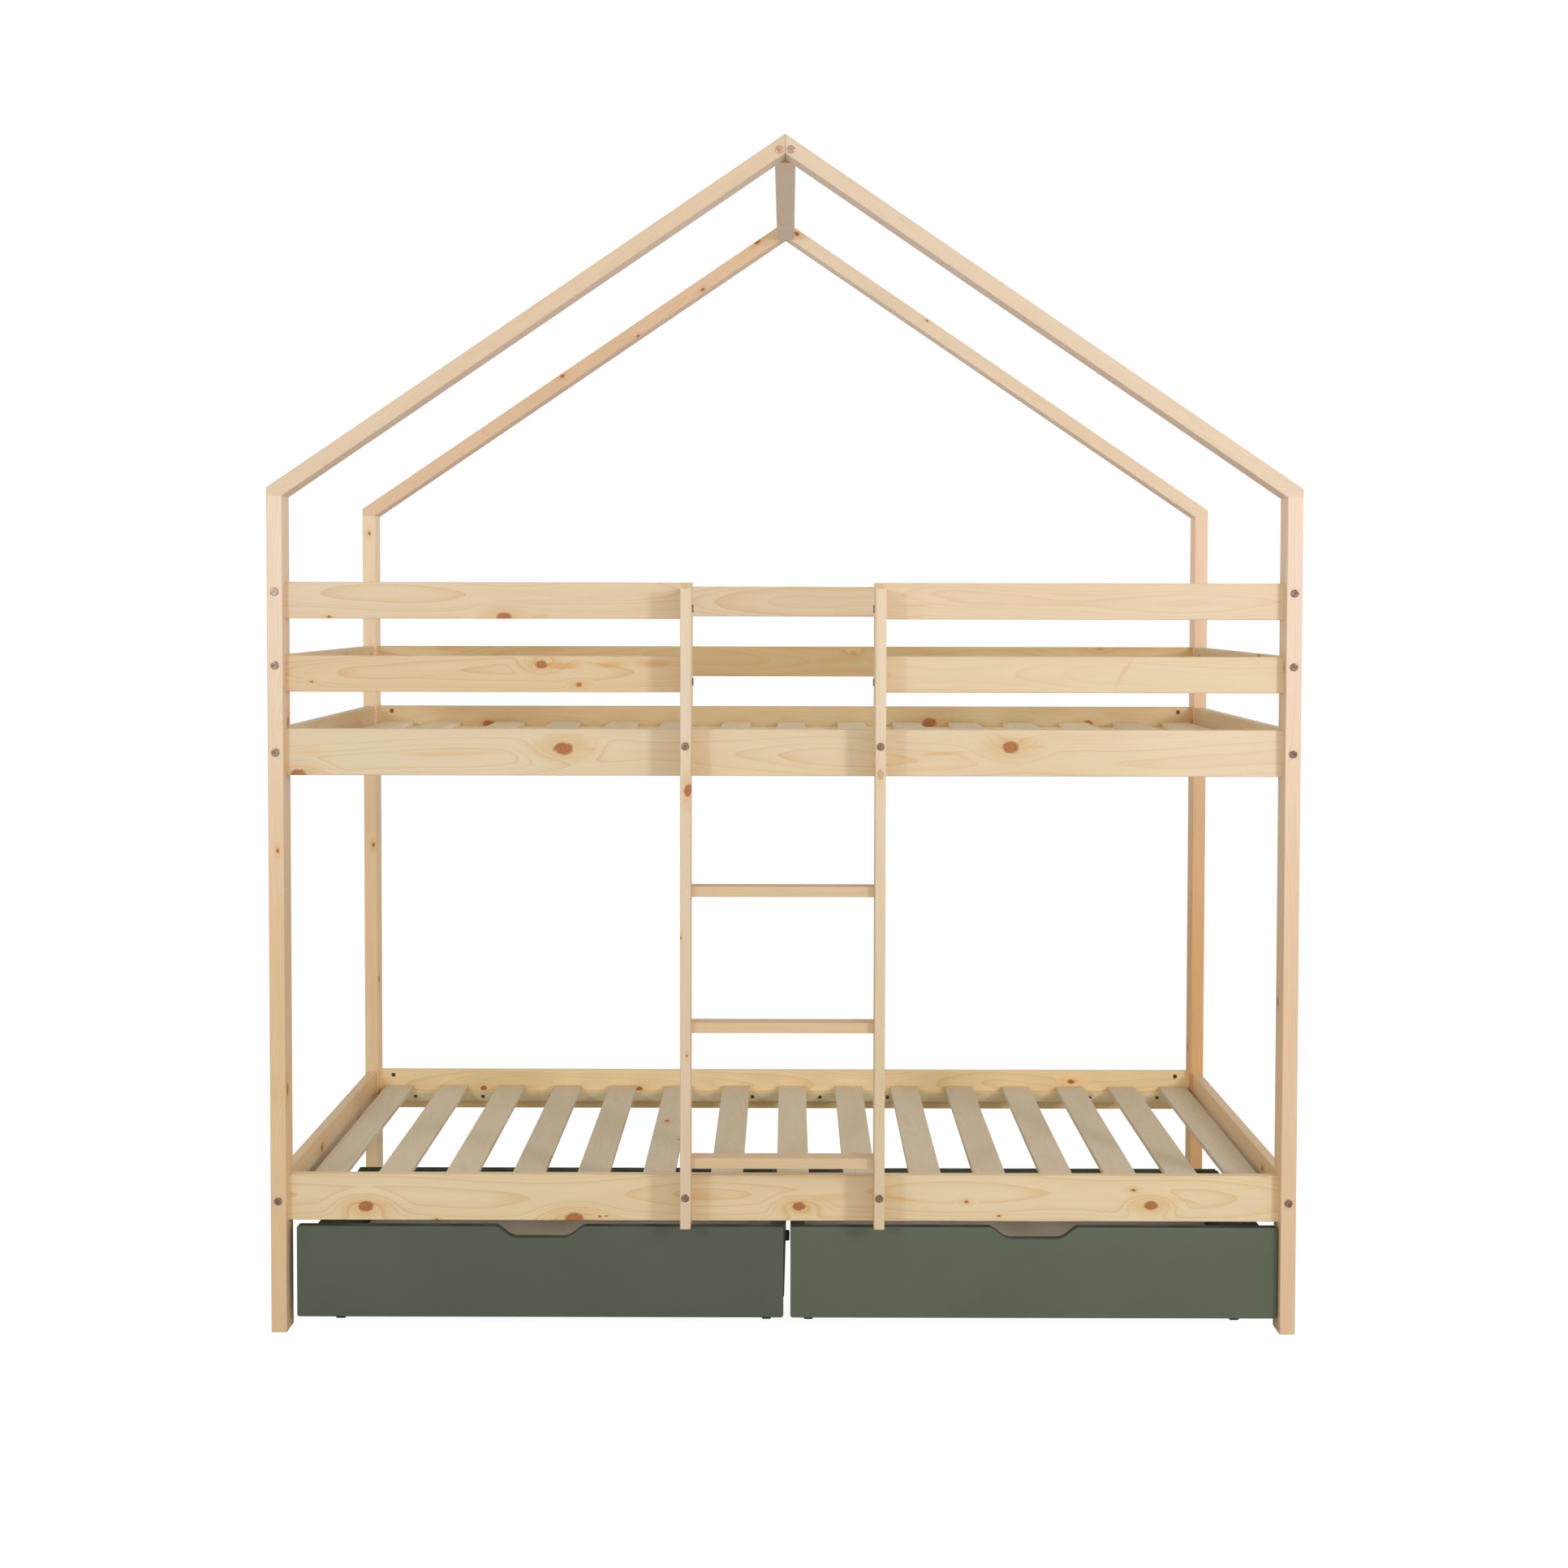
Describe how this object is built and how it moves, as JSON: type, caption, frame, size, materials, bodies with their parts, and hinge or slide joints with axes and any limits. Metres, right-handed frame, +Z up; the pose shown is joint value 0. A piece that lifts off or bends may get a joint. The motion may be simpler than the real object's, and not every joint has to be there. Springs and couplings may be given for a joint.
{
  "type": "house bunk bed",
  "caption": "Pine bunk bed with a house-shaped roof frame, a straight ladder, slatted decks, guard boards and rolling under-bed drawers.",
  "frame": {"origin": "on the floor at the centre of the footprint, ladder and bolt heads included", "axes": "+X along the bed, +Y from the ladder side to the wall side, +Z up"},
  "size_m": [1.9852, 1.0352, 2.302],
  "materials": {
    "pine_post": "satin clear-coated pine",
    "pine_roof": "satin clear-coated pine",
    "pine_front": "satin clear-coated pine",
    "pine_rear": "satin clear-coated pine",
    "pine_end": "satin clear-coated pine",
    "pine_ladder": "satin clear-coated pine",
    "pine_rung": "satin clear-coated pine",
    "slat_wood": "planed, uncoated",
    "bearer_wood": "planed, uncoated",
    "beech": "fluted dowel, uncoated",
    "bronze": "bronze-coloured plating",
    "zinc": "zinc plated",
    "green_paint": "matt dark green paint over board",
    "hardboard": "bare hardboard",
    "black_plastic": "moulded",
    "black_rubber": "moulded"
  },
  "bodies": {
    "frame": {"bearer_screws": "zinc", "dowels": "beech", "end_rail_bolts": "bronze", "frame_nuts": "zinc", "front_left_guards": "pine_front", "front_left_post": "pine_post", "front_left_rafter": "pine_roof", "front_right_guards": "pine_front", "front_right_post": "pine_post", "front_right_rafter": "pine_roof", "guard_post_bolts": "bronze", "ladder_bolts": "bronze", "ladder_left_rail": "pine_ladder", "ladder_right_rail": "pine_ladder", "ladder_rungs": "pine_rung", "ladder_screws": "zinc", "left_end_guards": "pine_end", "left_guard_post": "pine_ladder", "lower_front_side_rail": "pine_front", "lower_left_end_rail": "pine_end", "lower_rear_side_rail": "pine_rear", "lower_right_end_rail": "pine_end", "lower_slats": "slat_wood", "rear_guards": "pine_rear", "rear_left_post": "pine_post", "rear_left_rafter": "pine_roof", "rear_right_post": "pine_post", "rear_right_rafter": "pine_roof", "ridge_beam": "pine_roof", "ridge_bolts": "bronze", "right_end_guards": "pine_end", "right_guard_post": "pine_ladder", "side_rail_bolts": "bronze", "slat_bearers": "bearer_wood", "upper_front_side_rail": "pine_front", "upper_left_end_rail": "pine_end", "upper_rear_side_rail": "pine_rear", "upper_right_end_rail": "pine_end", "upper_slats": "slat_wood"},
    "left_drawer": {"left_drawer_axles": "zinc", "left_drawer_back": "green_paint", "left_drawer_bottom": "hardboard", "left_drawer_buffers": "black_rubber", "left_drawer_castor_forks": "zinc", "left_drawer_cleats": "green_paint", "left_drawer_front": "green_paint", "left_drawer_screws": "zinc", "left_drawer_sides": "green_paint"},
    "right_drawer": {"right_drawer_axles": "zinc", "right_drawer_back": "green_paint", "right_drawer_bottom": "hardboard", "right_drawer_castor_forks": "zinc", "right_drawer_cleats": "green_paint", "right_drawer_front": "green_paint", "right_drawer_screws": "zinc", "right_drawer_sides": "green_paint"},
    "left_front_wheel_pair": {"left_front_wheels": "black_plastic"},
    "left_rear_wheel_pair": {"left_rear_wheels": "black_plastic"},
    "right_front_wheel_pair": {"right_front_wheels": "black_plastic"},
    "right_rear_wheel_pair": {"right_rear_wheels": "black_plastic"}
  },
  "joints": [
    {"name": "left_drawer_slide", "type": "slide", "parent": "frame", "child": "left_drawer", "axis": [0, -1, 0], "range_m": [0, 0.45]},
    {"name": "right_drawer_slide", "type": "slide", "parent": "frame", "child": "right_drawer", "axis": [0, -1, 0], "range_m": [0, 0.45]},
    {"name": "left_front_wheels_roll", "type": "hinge", "parent": "left_drawer", "child": "left_front_wheel_pair", "pos_m": [-0.4525, -0.387, 0.0253], "axis": [1, 0, 0], "continuous": true},
    {"name": "left_rear_wheels_roll", "type": "hinge", "parent": "left_drawer", "child": "left_rear_wheel_pair", "pos_m": [-0.4525, -0.09, 0.0253], "axis": [1, 0, 0], "continuous": true},
    {"name": "right_front_wheels_roll", "type": "hinge", "parent": "right_drawer", "child": "right_front_wheel_pair", "pos_m": [0.469, -0.387, 0.0253], "axis": [1, 0, 0], "continuous": true},
    {"name": "right_rear_wheels_roll", "type": "hinge", "parent": "right_drawer", "child": "right_rear_wheel_pair", "pos_m": [0.469, -0.09, 0.0253], "axis": [1, 0, 0], "continuous": true}
  ],
  "couplings": [
    {"joint": "left_front_wheels_roll", "follows": "left_drawer_slide", "rad_per_m": 40},
    {"joint": "left_rear_wheels_roll", "follows": "left_drawer_slide", "rad_per_m": 40},
    {"joint": "right_front_wheels_roll", "follows": "right_drawer_slide", "rad_per_m": 40},
    {"joint": "right_rear_wheels_roll", "follows": "right_drawer_slide", "rad_per_m": 40}
  ]
}
